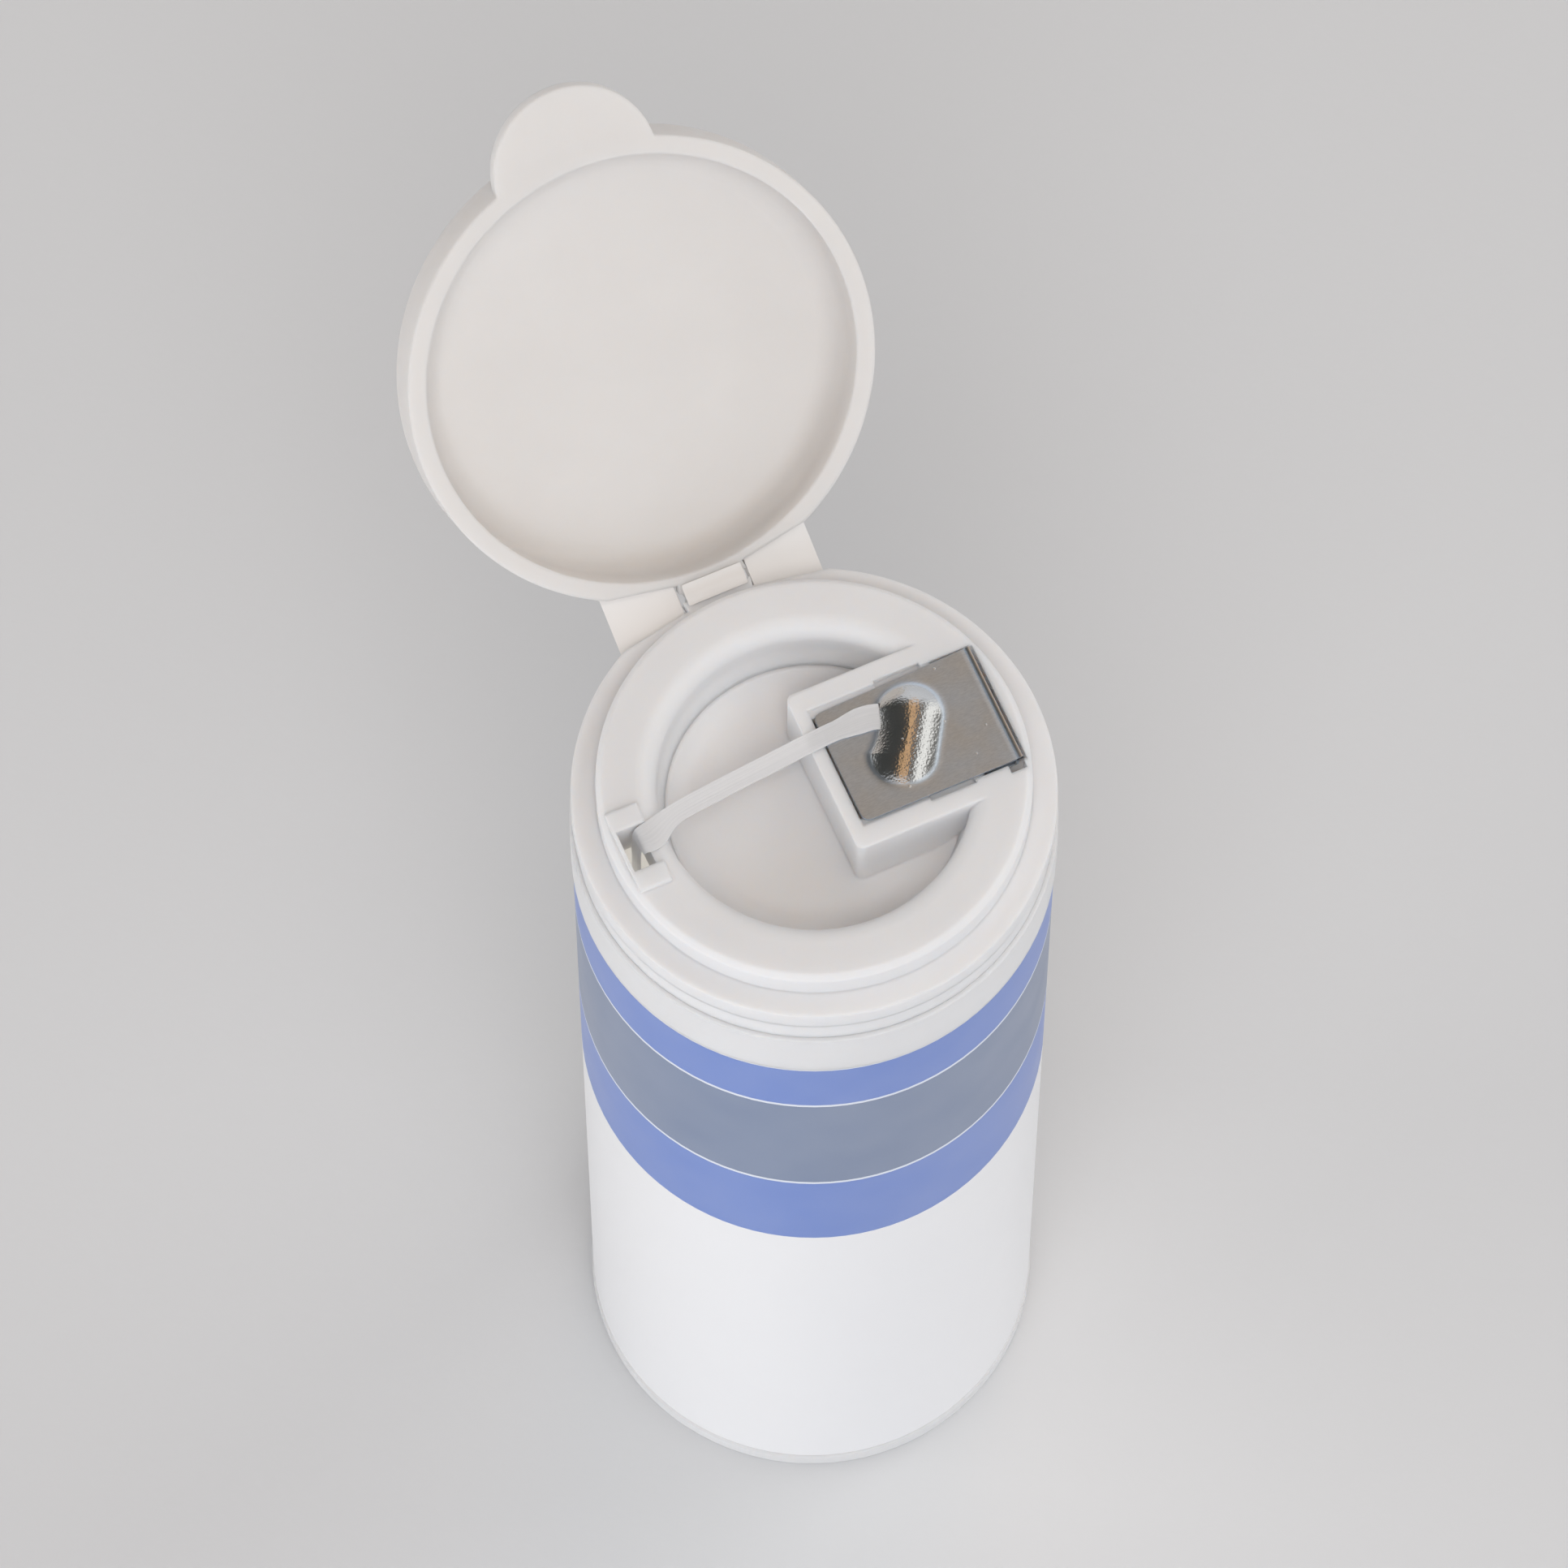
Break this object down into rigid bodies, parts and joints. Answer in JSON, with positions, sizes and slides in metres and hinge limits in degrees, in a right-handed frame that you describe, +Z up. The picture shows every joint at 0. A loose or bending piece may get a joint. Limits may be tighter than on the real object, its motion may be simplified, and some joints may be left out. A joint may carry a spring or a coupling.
{
  "type": "dental floss dispenser",
  "caption": "Round white floss bottle with a flip lid held open by a strap hinge, a finger recess with a metal cutter clip, and floss tape drawn from an outlet slot.",
  "frame": {"origin": "centre of the bottle's base, on the surface it stands on", "axes": "+Z up along the bottle, X along the lid's hinge line, +Y towards the hinge"},
  "size_m": [0.0424, 0.0771, 0.1507],
  "materials": {
    "bottle": "satin white moulded polypropylene",
    "label": "printed film label with plain blue, grey and white bands",
    "cap": "translucent white polypropylene, fine satin",
    "lid": "translucent white polypropylene, fine satin",
    "left_strap": "translucent white polypropylene hinge strap",
    "right_strap": "translucent white polypropylene hinge strap",
    "cutter": "satin stainless sheet with a drawn dome",
    "bobbin": "natural polypropylene",
    "floss_winding": "wound translucent floss tape",
    "floss_strand": "thin translucent floss tape"
  },
  "bodies": {
    "container": {"bottle": "bottle", "label": "label", "cap": "cap", "cutter": "cutter", "floss_strand": "floss_strand"},
    "lid": {"lid": "lid"},
    "left_strap": {"left_strap": "left_strap"},
    "right_strap": {"right_strap": "right_strap"},
    "spool": {"bobbin": "bobbin", "floss_winding": "floss_winding"}
  },
  "joints": [
    {"name": "lid_hinge", "type": "hinge", "parent": "container", "child": "lid", "pos_m": [0, 0.0211, 0.117], "axis": [-1, 0, 0], "range_deg": [-135, 0]},
    {"name": "left_strap_fold", "type": "hinge", "parent": "container", "child": "left_strap", "pos_m": [-0.00325, 0.0203, 0.1158], "axis": [-0.9492, -0.1749, -0.2617], "range_deg": [-70.4, 0]},
    {"name": "right_strap_fold", "type": "hinge", "parent": "container", "child": "right_strap", "pos_m": [0.00325, 0.0203, 0.1158], "axis": [-0.9492, 0.1749, 0.2617], "range_deg": [-70.4, 0]},
    {"name": "spool_spin", "type": "hinge", "parent": "container", "child": "spool", "pos_m": [0, 0, 0.03], "axis": [0, 0, 1], "continuous": true}
  ],
  "couplings": [
    {"joint": "left_strap_fold", "follows": "lid_hinge", "ratio": 0.52066},
    {"joint": "right_strap_fold", "follows": "lid_hinge", "ratio": 0.52066}
  ]
}
